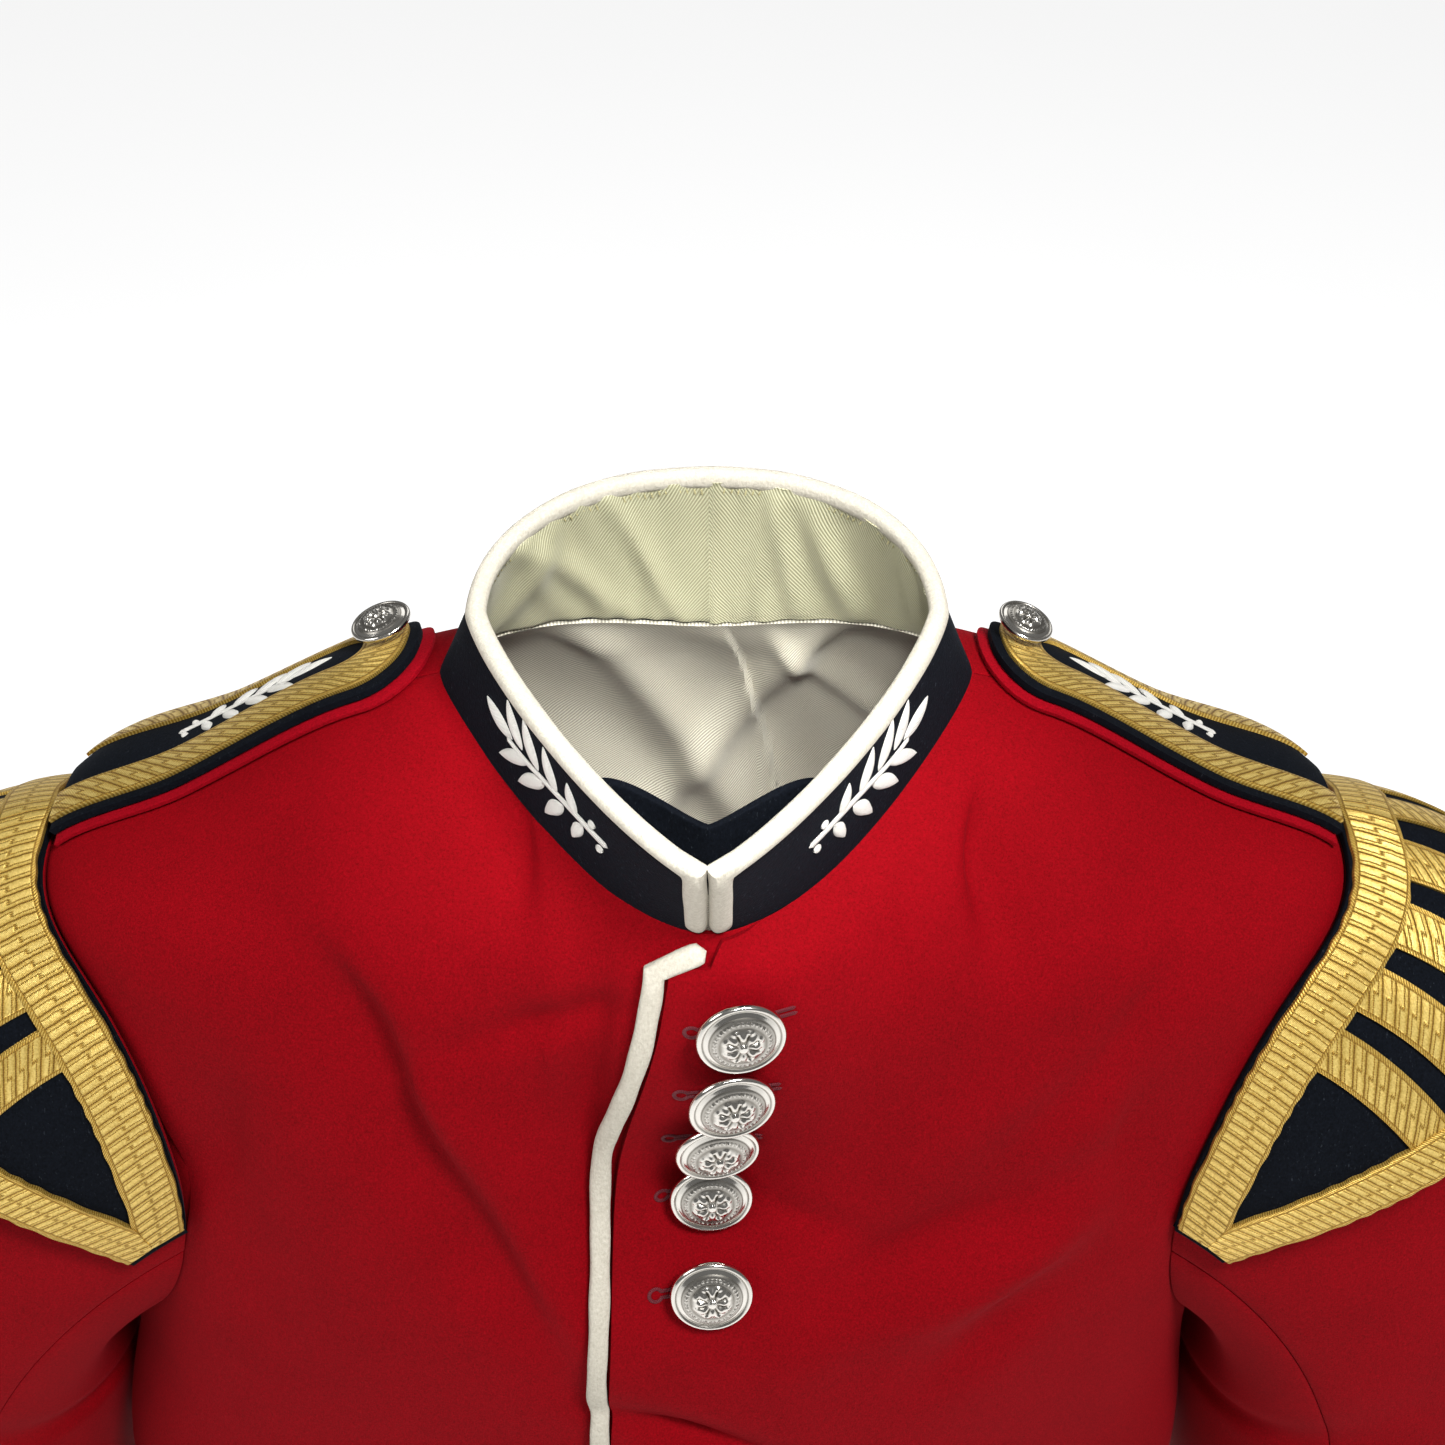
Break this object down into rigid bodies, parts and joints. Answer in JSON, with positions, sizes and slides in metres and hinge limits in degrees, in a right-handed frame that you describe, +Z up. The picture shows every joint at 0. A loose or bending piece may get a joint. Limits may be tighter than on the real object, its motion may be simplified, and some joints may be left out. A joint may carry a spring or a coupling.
{
  "type": "military band tunic, worn form",
  "caption": "Hollow worn tunic shell with stand collar, laced shoulder straps and laced crescent wings, closing left front over right.",
  "frame": {"origin": "middle of the neck opening at the height of the neck seam, where the wearer's neck and shoulders hold the tunic up", "axes": "+Z up, -Y the way the wearer faces, +X the wearer's left"},
  "size_m": [0.7438, 0.2113, 0.7839],
  "materials": {
    "scarlet_wool": "napped wool",
    "navy_wool": "napped wool",
    "white_wool": "felted wool",
    "collar_lining": "satin twill",
    "body_lining": "satin twill",
    "gold_lace": "woven metallic lace",
    "silver_button": "bright stamped metal"
  },
  "bodies": {
    "root": {"front_left": "scarlet_wool", "front_right": "scarlet_wool", "back_left": "scarlet_wool", "back_right": "scarlet_wool", "sleeve_top_left": "scarlet_wool", "sleeve_top_right": "scarlet_wool", "sleeve_under_left": "scarlet_wool", "sleeve_under_right": "scarlet_wool", "back_lining": "body_lining", "front_piping_edge": "white_wool", "collar": "navy_wool", "collar_lining_left": "collar_lining", "collar_lining_right": "collar_lining", "collar_piping_left": "white_wool", "collar_piping_right": "white_wool", "collar_tab": "navy_wool", "strap_edge_left": "scarlet_wool", "strap_edge_right": "scarlet_wool", "strap_left": "navy_wool", "strap_right": "navy_wool", "strap_lace_left": "gold_lace", "strap_lace_right": "gold_lace", "strap_button_left": "silver_button", "strap_button_right": "silver_button", "wing_left": "navy_wool", "wing_right": "navy_wool", "wing_lace_left": "gold_lace", "wing_lace_right": "gold_lace", "wing_bar_left_01": "gold_lace", "wing_bar_left_02": "gold_lace", "wing_bar_left_03": "gold_lace", "wing_bar_left_04": "gold_lace", "wing_bar_left_05": "gold_lace", "wing_bar_left_06": "gold_lace", "wing_bar_left_07": "gold_lace", "wing_bar_left_08": "gold_lace", "wing_bar_right_01": "gold_lace", "wing_bar_right_02": "gold_lace", "wing_bar_right_03": "gold_lace", "wing_bar_right_04": "gold_lace", "wing_bar_right_05": "gold_lace", "wing_bar_right_06": "gold_lace", "wing_bar_right_07": "gold_lace", "wing_bar_right_08": "gold_lace", "button_01": "silver_button", "button_02": "silver_button", "button_03": "silver_button", "button_04": "silver_button", "button_05": "silver_button", "button_06": "silver_button", "button_07": "silver_button", "button_08": "silver_button", "button_09": "silver_button", "button_10": "silver_button"}
  },
  "joints": []
}
